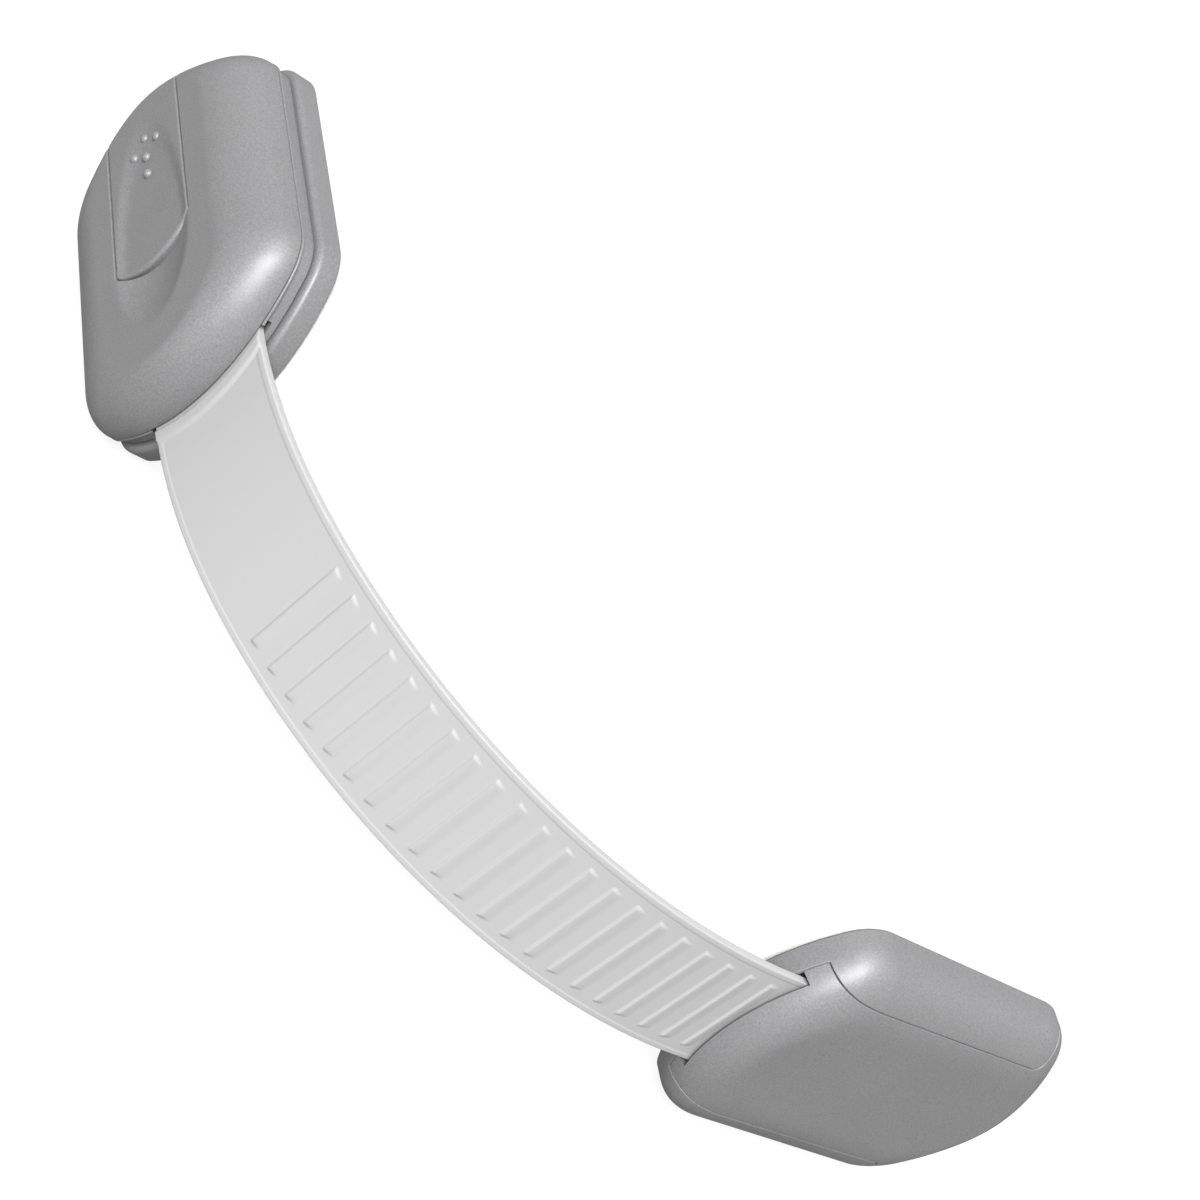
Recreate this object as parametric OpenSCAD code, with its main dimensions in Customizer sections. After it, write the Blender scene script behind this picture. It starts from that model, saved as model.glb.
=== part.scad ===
// Cabinet safety lock: a latch head and an anchor head, each stuck to the furniture, and a ribbed
// strap bent a quarter turn between them. Millimetres, +Z up along the width of the strap.
// The origin is the middle of the face that the latch head sticks by. That face looks along +Y,
// the strap leaves the latch head along +X and enters the anchor head along +Y.
// Both heads are drawn lying down (length x, width y, height z from the sticking face) and then set up.

/* [Heads] */
// Width of the latch base plate
latch_w = 40; // [36:0.5:46]
// Length of the latch base plate
latch_l = 53; // [49:0.5:60]
// Width of the anchor head
anchor_w = 38; // [36:0.2:44]
// Length of the anchor head
anchor_l = 53; // [51:0.5:60]
// Radius of the arched ends of both heads
arch_r = 28; // [25:0.5:34]
// Radius of the four corners of a head's outline
corner_r = 6.8; // [4:0.2:9]
// Thickness of the adhesive foam pads
pad_t = 1; // [0.6:0.1:1.6]
// Distance that a pad stays back from the edge of its plate
pad_inset = 1.6; // [1:0.1:3]
// Wall thickness of the moulded shells
wall = 1.6; // [1.2:0.1:1.8]

/* [Latch head] */
// Thickness of the latch base plate
plate_t = 3.3; // [3:0.1:4]
// Rounding of the upper edge of the base plate
plate_round = 0.8; // [0.4:0.1:1.2]
// Gap between the base plate and the housing floor
plate_gap = 0.2; // [0.15:0.05:0.4]
// Distance from the edge of the base plate in to the floor's edge
floor_inset = 1; // [0.8:0.1:1.5]
// Thickness of the housing floor
floor_t = 2.05; // [1.9:0.05:2.4]
// Distance from the edge of the base plate in to the cover's edge
cover_inset = 0.6; // [0.4:0.1:1]
// Height of the latch cover above the floor
cover_h = 6.65; // [6.4:0.05:8.5]
// Width of the rounding from the cover's side walls to its top
side_round = 8.4; // [7:0.2:9]
// Length of the rounding from the cover's strap end to its top
strap_round = 3.8; // [3:0.2:5]
// Length of the rounding from the cover's far end to its top
far_round = 1.8; // [1.4:0.2:3]
// Fullness of the cover's rounding, where 2 is an ellipse
latch_power = 1.9; // [1.6:0.1:2.4]
// Thickness of the keeper's post
keeper_t = 2.4; // [2:0.1:3]
// Width of the keeper's post
keeper_w = 10; // [8:0.5:11]
// Length of the keeper's barb
barb = 1.5; // [1.2:0.1:2]
// Thickness of the catch spring strip
catch_t = 0.6; // [0.5:0.1:0.8]
// Width of the catch spring
catch_w = 9; // [7:0.5:10]
// Diameter of the housing screws
screw_d = 2; // [1.8:0.1:2.4]
// Diameter of the screw heads
screw_head_d = 4; // [3.6:0.1:4.4]
// Distance between the screws along the head
screw_span_l = 26; // [24:0.5:28]
// Distance between the screws across the head
screw_span_w = 28.4; // [27:0.2:30]

/* [Release button] */
// Width of the button
button_w = 14.1; // [12:0.1:15]
// Length of the button from the far end of the cover to the top of its arch
button_l = 32; // [30:0.5:34]
// Height of the arch at the button's inner end
button_arch = 2.45; // [1.5:0.05:3]
// Width of the slit round the button
slit = 0.3; // [0.25:0.05:0.4]
// Diameter of the button's pivot pin
pin_d = 2; // [1.6:0.1:2.2]
// Distance from the far end of the cover to the pivot
pin_back = 7; // [6.6:0.1:8]
// Depth of the pivot below the top of the button
pin_depth = 3.3; // [3.2:0.1:3.8]
// Depth of the thumb scoop
scoop_d = 1.3; // [0.8:0.1:1.4]
// Radius of the scoop across the button
scoop_r = 19.5; // [16:0.5:24]
// Length of the scoop towards the strap
scoop_front = 12.3; // [9:0.1:13]
// Length of the scoop towards the pivot
scoop_back = 24; // [18:0.5:24]
// Radius of the five grip dots
dot_r = 0.8; // [0.6:0.1:1]
// Outer diameter of the button's return spring
spring_d = 4.6; // [4:0.2:5.2]
// Wire of the return spring
spring_wire = 0.5; // [0.4:0.05:0.6]
// Turns of the return spring
spring_turns = 5; // [4:1:6]

/* [Strap] */
// Width of the strap
strap_w = 19.8; // [16:0.2:20.6]
// Thickness of the strap
strap_t = 1; // [0.8:0.1:1.1]
// Height of the strap's middle above the latch's sticking face
strap_h_latch = 5.95; // [5.9:0.05:6]
// Height of the strap's middle above the anchor's sticking face
strap_h_anchor = 5.45; // [5.4:0.05:5.6]
// Distance from the middle of the latch head to the start of the bend
bend_start = 21.8; // [21:0.1:24]
// Radius of the bend beside the latch head
bend_r1 = 59.1; // [50:0.1:70]
// Angle turned at that radius, out of the quarter turn
bend_a1 = 28.2; // [20:0.1:60]
// Radius of the bend beside the anchor head
bend_r2 = 75.4; // [60:0.1:95]
// Width of the raised edge of the strap
edge_w = 0.9; // [0.6:0.1:1.4]
// Height of the raised edge of the strap
edge_h = 0.18; // [0.1:0.02:0.25]
// Length of the strap inside the anchor head
tail_l = 40; // [38:0.5:42]
// Distance from the start of the bend to the first rib
rib_start = 34.6; // [20:0.1:40]
// Distance from rib to rib
rib_pitch = 3.75; // [3.4:0.01:4.2]
// Length of a rib
rib_l = 15.7; // [10:0.1:16]
// Length of a rib's steep front, which faces the latch head
rib_front = 0.45; // [0.3:0.05:0.6]
// Length of a rib's sloping back
rib_back = 1.35; // [1:0.05:1.5]
// Height of a rib above the strap
rib_h = 0.45; // [0.3:0.05:0.5]
// Diameter of the posts that hold the strap in the latch head
post_d = 3.6; // [3:0.1:4]
// Distance between those posts
post_span = 11; // [9:0.5:12]

/* [Anchor head] */
// Height of the anchor head's top at the strap's end, above the sticking face
near_h = 10.4; // [10.2:0.1:12]
// Height of the anchor head's top at its far end
anchor_far_h = 8.4; // [8.4:0.1:12]
// Width of the rounding from the anchor's side walls to its top
anchor_side = 9.6; // [8:0.2:10]
// Length of the rounding from the anchor's strap end to its top
near_round = 5.8; // [4:0.2:7]
// Length of the rounding from the anchor's far end to its top
anchor_far_round = 2.4; // [1.6:0.2:4]
// Fullness of the anchor's rounding, where 2 is an ellipse
anchor_power = 2.3; // [1.8:0.1:2.6]
// Thickness of the anchor base's floor
tray_t = 2.4; // [2:0.1:2.6]
// Height of the joint line at the strap's end, above the sticking face
split_h = 4.7; // [4.4:0.05:4.75]
// Width of the sliding cover between the two wings
tongue_w = 27.2; // [26:0.2:28]
// Length of the cover's full-width end
cap_l = 8.4; // [8:0.1:11]
// Gap along the joint between cover and base
joint_gap = 0.15; // [0.1:0.05:0.2]
// Depth of the guide grooves in the wings
groove_d = 0.7; // [0.5:0.05:1]
// Thickness of the pawl strip
pawl_t = 0.5; // [0.4:0.1:0.6]
// Width of the pawl strip
pawl_w = 12; // [8:0.5:14]

/* [Hidden] */
$fn = 48;
grey = [0.62, 0.61, 0.63];
dark = [0.52, 0.51, 0.53];
clear = 0.1;                                   // clearance of a pin or post in its hole
plate_top = pad_t + plate_t;
floor_z = plate_top + plate_gap;
rim_z = floor_z + floor_t;
top_z = rim_z + cover_h;
cover_l = latch_l - 2 * cover_inset;
cover_w = latch_w - 2 * cover_inset;
far_x = -cover_l / 2;
under_z = top_z - wall;                        // underside of the latch cover's flat top
pin_x = far_x + pin_back;
pin_z = top_z - pin_depth;
button_end = far_x + button_l;
scoop_x = button_end - 1.65;
barb_x = -keeper_t / 2 - 0.6;                  // front face of the keeper's post, below the barb
keeper_x = barb_x - keeper_t;
barb_z = rim_z + 1.65;
catch_x = barb_x + barb + 0.4;
spring_x = keeper_x - spring_d / 2 - 3.5;
channel_w = strap_w + 2.6;
channel_z = strap_h_latch - strap_t / 2 - 0.15;
tongue_x = 8;                                  // inner end of the strap in the latch head
post_x = tongue_x + 5;
bend1 = [bend_start, -strap_h_latch + bend_r1];
turn1 = bend1 + bend_r1 * [sin(bend_a1), -cos(bend_a1)];
bend2 = turn1 + bend_r2 * [-sin(bend_a1), cos(bend_a1)];
strap_end = bend2 + [bend_r2, 0];
anchor_x = strap_end[0] - strap_h_anchor;
near_x = -anchor_l / 2;
tray_z = pad_t + tray_t;
shoulder_x = anchor_l / 2 - cap_l;
slot_w = strap_w + 1.4;
slot_z = strap_h_anchor + strap_t / 2 + rib_h + 0.25;
screw_l = 2.8;                                 // length of a housing screw in the cover's boss
keeper_gap = 0.6;                              // clearance all round the keeper in its window
barb_top = barb_z + 1.7;                       // top of the keeper's barb
catch_foot = 7;                                // length of the catch spring's foot
hole_back = 5;                                 // its screws, from the spring's upright
hole_side = 2.6;                               // and to either side of the middle
pawl_hole = 9;                                 // pawl screws, from the pawl's lip
pawl_side = 3.5;                               // and to either side of the middle
pawl_end = 11;                                 // far end of the pawl strip, from its lip
clip_l = 8;                                    // cut that opens the slot through the cover's wall
right = 90;                                    // a quarter turn
arc1_l = bend_r1 * bend_a1 * PI / 180;
arc2_l = bend_r2 * (right - bend_a1) * PI / 180;
strap_l = arc1_l + arc2_l;
edge_start = cover_l / 2 - bend_start - 1.2;     // the strap's raised edges start outside the cover
lip_s = cover_l / 2 - bend_start + 0.95;         // and so does the lip across it
strap_steps = 54;                              // straight pieces that the bend is drawn with
rib_n = floor((strap_l + tail_l - rib_start - 3) / rib_pitch) + 1;
pawl_rib = ceil((strap_l + 5.5 - rib_start) / rib_pitch);
pawl_x = near_x + rib_start + (pawl_rib - 0.5) * rib_pitch - strap_l;
pawl_z = near_h - wall + (anchor_far_h - near_h) * ((pawl_x + pawl_hole) / anchor_l + 0.5);

// Sets a head that is drawn lying down up on its edge: as the latch head, or as the anchor head
module as_latch() { rotate([right, 0, 0]) children(); }
module as_anchor() {
    translate([anchor_x, strap_end[1] + anchor_l / 2, 0]) rotate([right, 0, right]) children();
}

// Outline of a head: straight sides, arched ends of radius r, corners of radius c that touch both
function half_end(l, w, r, c) = let (
        reach = sqrt(pow(r - c, 2) - pow(w / 2 - c, 2)), cx = l / 2 - r + reach,
        a = atan2(w / 2 - c, reach))
    concat([for (i = [0:5]) let (t = -90 + (90 - a) * i / 5) [cx + c * cos(t), -w / 2 + c + c * sin(t)]],
        [for (i = [1:9]) let (t = -a + 2 * a * i / 10) [l / 2 - r + r * cos(t), r * sin(t)]],
        [for (i = [0:5]) let (t = a + (90 - a) * i / 5) [cx + c * cos(t), w / 2 - c + c * sin(t)]]);
function head_outline(l, w, r, c) = let (e = half_end(l, w, r, c)) concat(e, [for (p = e) -p]);

// Straight-walled body on the outline from z0 to z1, drawn in by inset all round
module slab(l, w, z0, z1, inset = 0) {
    translate([0, 0, z0])
        linear_extrude(z1 - z0)
            polygon(head_outline(l - 2 * inset, w - 2 * inset, arch_r - inset, max(corner_r - inset, 0.6)));
}

// Domed body: straight from z0 to z1, then rings drawn in along a superellipse to the top.
// ends gives the rounding's length at the -x and the +x end, tops the height of the top there.
module dome(l, w, z0, z1, tops, ends, side, power, rings = 8, inset = 0) {
    o = head_outline(l - 2 * inset, w - 2 * inset, arch_r - inset, max(corner_r - inset, 0.6));
    n = len(o);
    levels = concat([[0, -1], [0, 0]], [for (k = [1:rings]) let (a = right * k / rings)
        [1 - pow(max(cos(a), 0), 2 / power), pow(sin(a), 2 / power)]]);
    function along(p, v) = p[0] * (1 - (ends[0] + ends[1]) * v[0] / l) + (ends[0] - ends[1]) / 2 * v[0];
    function top(x) = tops[0] + (tops[1] - tops[0]) * (x / l + 0.5);
    pts = [for (v = levels) for (p = o) let (x = along(p, v))
        [x, p[1] * (1 - 2 * side * v[0] / w), v[1] < 0 ? z0 : z1 + (top(x) - z1) * v[1]]];
    m = len(levels);
    faces = concat([[for (i = [0:n - 1]) i]], [[for (i = [n - 1:-1:0]) (m - 1) * n + i]],
        [for (k = [0:m - 2]) for (i = [0:n - 1]) [k * n + i, (k + 1) * n + i, k * n + (i + 1) % n]],
        [for (k = [0:m - 2]) for (i = [0:n - 1])
            [(k + 1) * n + i, (k + 1) * n + (i + 1) % n, k * n + (i + 1) % n]]);
    polyhedron(pts, faces);
}

// Latch head

module latch_adhesive_pad() {
    color([0.93, 0.93, 0.92]) as_latch() slab(latch_l, latch_w, 0, pad_t, pad_inset);
}

// Plate with a rounded upper edge and the barbed keeper post
module latch_base_plate() {
    color(grey) as_latch() {
        dome(latch_l, latch_w, pad_t, plate_top - plate_round, [plate_top, plate_top],
            [plate_round, plate_round], plate_round, 2, 4);
        translate([keeper_x, keeper_w / 2, 0])
            rotate([right, 0, 0])
                linear_extrude(keeper_w)
                    polygon([[0, plate_top - 1], [keeper_t, plate_top - 1], [keeper_t, barb_z],
                        [keeper_t + barb, barb_z], [keeper_t + barb, barb_z + 0.5],
                        [keeper_t, barb_top], [0, barb_top]]);
    }
}

module screw_places(l = screw_span_l, w = screw_span_w) {
    for (sx = [-1, 1], sy = [-1, 1]) translate([sx * l / 2, sy * w / 2, 0]) children();
}

// Floor of the housing: screw seats, keeper window, strap channel with two posts, pivot lugs
module latch_floor() {
    lug_t = 1.5;
    lug_y = button_w / 2 - 0.75;
    color(dark) as_latch() {
        difference() {
            slab(latch_l, latch_w, floor_z, rim_z, floor_inset);
            translate([tongue_x - 0.4, -channel_w / 2, channel_z]) cube([latch_l, channel_w, floor_t]);
            translate([keeper_x - keeper_gap, -keeper_w / 2 - keeper_gap, floor_z - 1])
                cube([keeper_t + barb + 2 * keeper_gap, keeper_w + 2 * keeper_gap, floor_t + 2]);
            screw_places() {
                translate([0, 0, floor_z - 1]) cylinder(d = screw_head_d + 0.3, h = 2.2);
                translate([0, 0, floor_z - 1]) cylinder(d = screw_d + 0.2, h = floor_t + 2);
            }
            for (s = [-1, 1]) translate([catch_x + hole_back, s * hole_side, floor_z + 0.3])
                cylinder(d = 1.2, h = floor_t);
        }
        for (s = [-1, 1]) translate([post_x, s * post_span / 2, channel_z - 0.1])
            cylinder(d = post_d, h = rim_z + 1.2 - channel_z);
        for (s = [-1, 1])
            translate([pin_x, s * (lug_y + lug_t / 2) + lug_t / 2, 0])
                rotate([right, 0, 0])
                    difference() {
                        union() {
                            translate([-1.7, rim_z - 0.5, 0]) cube([3.4, pin_z - rim_z + 0.5, lug_t]);
                            translate([0, pin_z, 0]) cylinder(d = 2.7, h = lug_t);
                        }
                        translate([0, pin_z, -1]) cylinder(d = pin_d + 0.02, h = lug_t + 2);
                    }
    }
}

// Button seen from above: parallel sides that run off the far end, an arched inner end
module button_shape(grow = 0) {
    half = button_w / 2 + grow;
    rise_r = (pow(button_w / 2, 2) + pow(button_arch, 2)) / (2 * button_arch) + grow;
    intersection() {
        translate([far_x - 4, -half]) square([button_l + 4 + grow, 2 * half]);
        union() {
            translate([button_end + grow - rise_r, 0]) circle(r = rise_r, $fn = 96);
            translate([far_x - 4, -half]) square([button_l + 4 - button_arch, 2 * half]);
        }
    }
}

// Depth of the thumb scoop below the flat top, along its length
function scoop_depth(x) = let (u = x - scoop_x, reach = u > 0 ? scoop_front : scoop_back)
    scoop_d * (1 - pow(u / reach, 2));
function scoop_surface(x, y) = let (r = scoop_r - scoop_d + scoop_depth(x))
    top_z + scoop_r - scoop_d - sqrt(r * r - y * y);

// Thumb scoop: a barrel whose belly dips into the top, fuller towards the strap
module scoop() {
    x0 = scoop_x - scoop_back;
    x1 = scoop_x + scoop_front;
    translate([0, 0, top_z + scoop_r - scoop_d])
        rotate([0, right, 0])
            rotate_extrude($fn = 96)
                polygon(concat([[0, x0]],
                    [for (i = [0:8]) let (x = x0 + scoop_back * i / 8)
                        [scoop_r - scoop_d + scoop_depth(x), x]],
                    [for (i = [1:5]) let (x = scoop_x + scoop_front * i / 5)
                        [scoop_r - scoop_d + scoop_depth(x), x]],
                    [[0, x1]]));
}

module latch_body(z0 = rim_z, top = top_z, rings = 8, inset = 0) {
    dome(cover_l, cover_w, z0, rim_z + 0.4, [top, top], [far_round, strap_round], side_round, latch_power,
        rings, inset);
}

module latch_shell() {
    difference() {
        latch_body();
        latch_body(rim_z - 1, under_z, 6, wall);
    }
}

// Cover of the housing: domed shell with the opening for the button and four screw bosses
module latch_cover() {
    color(grey) as_latch() difference() {
        union() {
            latch_shell();
            intersection() {
                latch_body();
                screw_places() translate([0, 0, rim_z]) cylinder(d = screw_head_d + 1, h = under_z - rim_z);
            }
        }
        translate([0, 0, rim_z - 2]) linear_extrude(cover_h + 4) button_shape(slit);
        scoop();
        screw_places() translate([0, 0, rim_z - 1]) cylinder(d = screw_d + 0.02, h = screw_l + 1.2);
    }
}

module latch_screws() {
    color([0.75, 0.75, 0.77]) as_latch() screw_places() {
        translate([0, 0, floor_z + 0.1]) cylinder(d = screw_head_d, h = 1);
        translate([0, 0, floor_z + 0.6]) cylinder(d = screw_d, h = floor_t - 0.6 + screw_l);
    }
}

// Push button: part of the dome, with two ears for the pin, the rib that works the catch, five dots
module release_button() {
    ear_t = 1.5;
    ear_y = button_w / 2 - 2.5;
    color(grey) as_latch() {
        difference() {
            union() {
                intersection() {
                    latch_shell();
                    translate([0, 0, rim_z + 0.35]) linear_extrude(cover_h + 4) button_shape();
                }
                for (s = [-1, 1])
                    translate([pin_x, s * (ear_y + ear_t / 2 - 0.4) + ear_t / 2, 0])
                        rotate([right, 0, 0]) {
                            translate([0, pin_z, 0]) cylinder(d = 4, h = ear_t);
                            translate([-2, pin_z, 0]) cube([4, under_z - pin_z + 0.2, ear_t]);
                        }
                translate([catch_x + 0.9, -catch_w / 2, under_z - 0.7]) cube([1, catch_w, 1]);
            }
            scoop();
            translate([pin_x, 0, pin_z])
                rotate([right, 0, 0]) cylinder(d = pin_d + 2 * clear, h = button_w, center = true);
        }
        for (d = [[15.8, 0], [12.5, 0], [10.6, -2.3], [10.6, 2.3], [8.8, 0]])
            translate([far_x + d[0], d[1], scoop_surface(far_x + d[0], d[1])])
                rotate_extrude($fn = 24)
                    polygon(dot_r * [[0, -0.3], [0.9, -0.3], [0.9, 0], [0.8, 0.27], [0.55, 0.45],
                        [0.25, 0.55], [0, 0.57]]);
    }
}

module button_pin() {
    color([0.8, 0.8, 0.82]) as_latch()
        translate([pin_x, 0, pin_z])
            rotate([right, 0, 0]) cylinder(d = pin_d, h = button_w + 1.4, center = true);
}

// Return spring: a closed tube wound from the floor to the underside of the button
module button_spring() {
    r = (spring_d - spring_wire) / 2;
    z0 = rim_z + spring_wire / 2;
    z1 = scoop_surface(spring_x, 0) - wall - 0.9;
    steps = spring_turns * 12;
    sides = 6;
    pts = [for (i = [0:steps]) let (a = 30 * i, f = i / steps,
            z = z0 + (z1 - z0) * f, up = atan2((z1 - z0) / spring_turns, 2 * PI * r))
        for (k = [0:sides - 1]) let (b = 360 * k / sides,
            q = r + spring_wire / 2 * cos(b), e = spring_wire / 2 * sin(b))
            [spring_x + q * cos(a) + e * sin(up) * sin(a), q * sin(a) - e * sin(up) * cos(a),
                z + e * cos(up)]];
    faces = concat([[for (k = [0:sides - 1]) k]], [[for (k = [sides - 1:-1:0]) steps * sides + k]],
        [for (i = [0:steps - 1]) for (k = [0:sides - 1])
            [i * sides + k, (i + 1) * sides + k, i * sides + (k + 1) % sides]],
        [for (i = [0:steps - 1]) for (k = [0:sides - 1])
            [(i + 1) * sides + k, (i + 1) * sides + (k + 1) % sides, i * sides + (k + 1) % sides]]);
    color([0.8, 0.8, 0.82]) as_latch() polyhedron(pts, faces);
}

// Catch: a spring strip with a foot, an upright, a lip under the barb and a ramp for the button's rib
module catch_spring() {
    x = catch_x;
    t = catch_t;
    lip_z = barb_z - 0.15;
    color([0.78, 0.78, 0.8]) as_latch() difference() {
        translate([0, catch_w / 2, 0])
            rotate([right, 0, 0])
                linear_extrude(catch_w)
                    polygon([[x, rim_z], [x + catch_foot, rim_z], [x + catch_foot, rim_z + t],
                        [x + t, rim_z + t],
                        [x + t, barb_z + 1.5], [x + t + 1.2, barb_z + 2.7], [x + 1.2, barb_z + 2.7],
                        [x, barb_z + 1.6], [x, lip_z], [x - 1, lip_z], [x - 1, lip_z - t], [x, lip_z - t]]);
        for (s = [-1, 1]) translate([x + hole_back, s * hole_side, rim_z - 1]) cylinder(d = 1.3, h = 3);
    }
}

module catch_screws() {
    color([0.7, 0.7, 0.72]) as_latch() for (s = [-1, 1]) translate([catch_x + hole_back, s * hole_side, 0]) {
        translate([0, 0, rim_z + catch_t]) cylinder(d = 2.2, h = 0.7);
        translate([0, 0, floor_z + 0.4]) cylinder(d = 1.18, h = floor_t + catch_t);
    }
}

// Strap

// Place and heading of the strap's middle line at distance s from the start of the bend
function strap_turn(s) = s < 0 ? 0 : s < arc1_l ? bend_a1 * s / arc1_l :
    s < strap_l ? bend_a1 + (right - bend_a1) * (s - arc1_l) / arc2_l : right;
function strap_at(s) = let (a = strap_turn(s))
    s < 0 ? [bend_start + s, -strap_h_latch] :
    s < arc1_l ? bend1 + bend_r1 * [sin(a), -cos(a)] :
    s < strap_l ? bend2 + bend_r2 * [sin(a), -cos(a)] : strap_end + [0, s - strap_l];
function strap_side(s, out) = let (a = strap_turn(s)) strap_at(s) + out * [sin(a), -cos(a)];

// Strip of the strap from s0 to s1, between two distances out from its middle line, and z0 to z1
module strip(s0, s1, inner, outer, z0, z1) {
    inside = [for (k = [0:strap_steps]) let (s = strap_l * k / strap_steps) if (s > s0 && s < s1) s];
    stops = concat([s0], inside, [s1]);
    translate([0, 0, z0])
        linear_extrude(z1 - z0)
            polygon(concat([for (s = stops) strap_side(s, outer)],
                [for (i = [len(stops) - 1:-1:0]) strap_side(stops[i], inner)]));
}

// Bar with the given profile across the outer side of the strap, lower at its two ends
module crossbar(s, l, profile) {
    p = strap_side(s, strap_t / 2);
    for (v = [[l / 2, 0.6], [l / 2 - 0.4, 1]])
        translate([p[0], p[1], -v[0]])
            rotate(strap_turn(s))
                linear_extrude(2 * v[0])
                    polygon([for (q = profile) [q[0], q[1] > 0 ? q[1] : q[1] * v[1]]]);
}

// Rib like a ratchet's tooth: a steep front towards the latch head, a short crest and a sloping back
module rib(s) {
    f = rib_front / 2;
    crossbar(s, rib_l, [[-f, 0.15], [-f, 0], [f * 0.4, -rib_h * 0.8], [f, -rib_h], [f + 0.25, -rib_h],
        [f + rib_back, 0], [f + rib_back, 0.15]]);
}

module strap() {
    h = strap_w / 2;
    t = strap_t / 2;
    color([0.86, 0.86, 0.86]) difference() {
        union() {
            strip(tongue_x - bend_start, strap_l + tail_l, -t, t, -h, h);
            for (z = [-h, h - edge_w])
                strip(edge_start, strap_l + tail_l, t - 0.2, t + edge_h, z, z + edge_w);
            for (i = [0:rib_n - 1]) rib(rib_start + i * rib_pitch);
            crossbar(lip_s, strap_w - 0.4, [[-0.85, 0.15], [-0.85, 0], [-0.6, -edge_h], [-0.2, -edge_h * 1.5],
                [0.2, -edge_h * 1.5], [0.6, -edge_h], [0.85, 0], [0.85, 0.15]]);
        }
        as_latch() for (s = [-1, 1]) translate([post_x, s * post_span / 2, 0])
            cylinder(d = post_d + 2 * clear, h = rim_z + 4);
    }
}

// Anchor head

module anchor_adhesive_pad() {
    color([0.93, 0.93, 0.92]) as_anchor() slab(anchor_l, anchor_w, 0, pad_t, pad_inset);
}

// The cover's outline from above: a tongue between the wings and a full-width end, drawn in by gap
module cover_zone(gap = 0) {
    half = tongue_w / 2 - gap;
    r = 1.6;
    translate([near_x - 5, -half]) square([anchor_l + 10, 2 * half]);
    translate([shoulder_x + gap, -anchor_w]) square([cap_l + 10, 2 * anchor_w]);
    for (s = [-1, 1]) difference() {
        translate([shoulder_x + gap - r, s > 0 ? half - 0.01 : -half - r + 0.01]) square([r + 0.01, r]);
        translate([shoulder_x + gap - r, s * (half + r)]) circle(r = r, $fn = 32);
    }
}

// Height of the anchor's sloping top at x
function anchor_top(x) = near_h + (anchor_far_h - near_h) * (x / anchor_l + 0.5);

module anchor_body(z0 = pad_t, inset = 0, drop = 0, rings = 8) {
    dome(anchor_l, anchor_w, z0, tray_z, [near_h - drop, anchor_far_h - drop], [near_round, anchor_far_round],
        anchor_side, anchor_power, rings, inset);
}

// Base of the anchor: floor, two wings that are part of the dome, guide grooves, rails for the strap
module anchor_base() {
    rail_l = anchor_l - 6;
    color(grey) as_anchor() {
        difference() {
            anchor_body();
            translate([0, 0, tray_z]) linear_extrude(near_h) cover_zone();
            for (s = [-1, 1]) translate([-anchor_l / 2 + 5, s * tongue_w / 2 - groove_d, split_h + 0.3])
                cube([anchor_l, 2 * groove_d, 1.4]);
        }
        intersection() {
            anchor_body();
            translate([near_x - 1, -tongue_w / 2 - 0.5, tray_z - 0.5])
                cube([3.4, tongue_w + 1, split_h - tray_z + 0.5]);
        }
        for (s = [-1, 0, 1]) translate([near_x + 1.5, s * strap_w * 0.36 - 0.6, tray_z - 0.5])
            cube([rail_l, 1.2, split_h + 0.1 - tray_z + 0.5]);
    }
}

// Sliding cover: the middle of the dome and its far end, guide tongues, the slot for the strap
module anchor_cover() {
    half = tongue_w / 2 - joint_gap;
    color(grey) as_anchor() difference() {
        union() {
            intersection() {
                difference() {
                    anchor_body();
                    anchor_body(0, wall, wall, 6);
                }
                translate([0, 0, tray_z + joint_gap]) linear_extrude(near_h) cover_zone(joint_gap);
            }
            intersection() {
                anchor_body();
                for (s = [-1, 1]) translate([near_x, s > 0 ? half - wall : -half, split_h + joint_gap])
                    cube([anchor_l - 4, wall, near_h]);
            }
            for (s = [-1, 1])
                translate([near_x + 5.3, s > 0 ? half - 0.2 : -half - groove_d + 0.3, split_h + 0.5])
                    cube([shoulder_x - near_x - 4, groove_d - 0.1, 1]);
        }
        translate([near_x - 1, -tongue_w, 0]) cube([anchor_l - cap_l + 1, 2 * tongue_w, split_h + joint_gap]);
        translate([near_x - 1, -slot_w / 2, 0]) cube([clip_l, slot_w, slot_z]);
        for (s = [-1, 1]) translate([pawl_x + pawl_hole, s * pawl_side, pawl_z - 0.9])
            cylinder(d = 1.2, h = 1.6);
    }
}

// Pawl: a spring strip under the cover whose lip drops between two ribs of the strap
module strap_pawl() {
    x = pawl_x;
    t = pawl_t;
    foot = 7;
    z1 = anchor_top(x + foot) - wall - 0.02;
    z2 = anchor_top(x + pawl_end) - wall - 0.02;
    zl = strap_h_anchor + strap_t / 2 + 0.1;
    color([0.78, 0.78, 0.8]) as_anchor() difference() {
        translate([0, pawl_w / 2, 0])
            rotate([right, 0, 0])
                linear_extrude(pawl_w)
                    polygon([[x + pawl_end, z2], [x + foot, z1], [x + 0.25, zl + 1], [x - 0.25, zl],
                        [x + 0.45, zl], [x + 0.8, zl + 0.75], [x + foot, z1 - t], [x + pawl_end, z2 - t]]);
        for (s = [-1, 1]) translate([x + pawl_hole, s * pawl_side, z1 - 2]) cylinder(d = 1.3, h = 3);
    }
}

module pawl_screws() {
    color([0.7, 0.7, 0.72]) as_anchor() for (s = [-1, 1])
        translate([pawl_x + pawl_hole, s * pawl_side, pawl_z - pawl_t - 0.75]) {
            cylinder(d = 2.2, h = 0.6);
            cylinder(d = 1.18, h = 0.75 + pawl_t + 0.5);
        }
}

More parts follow.
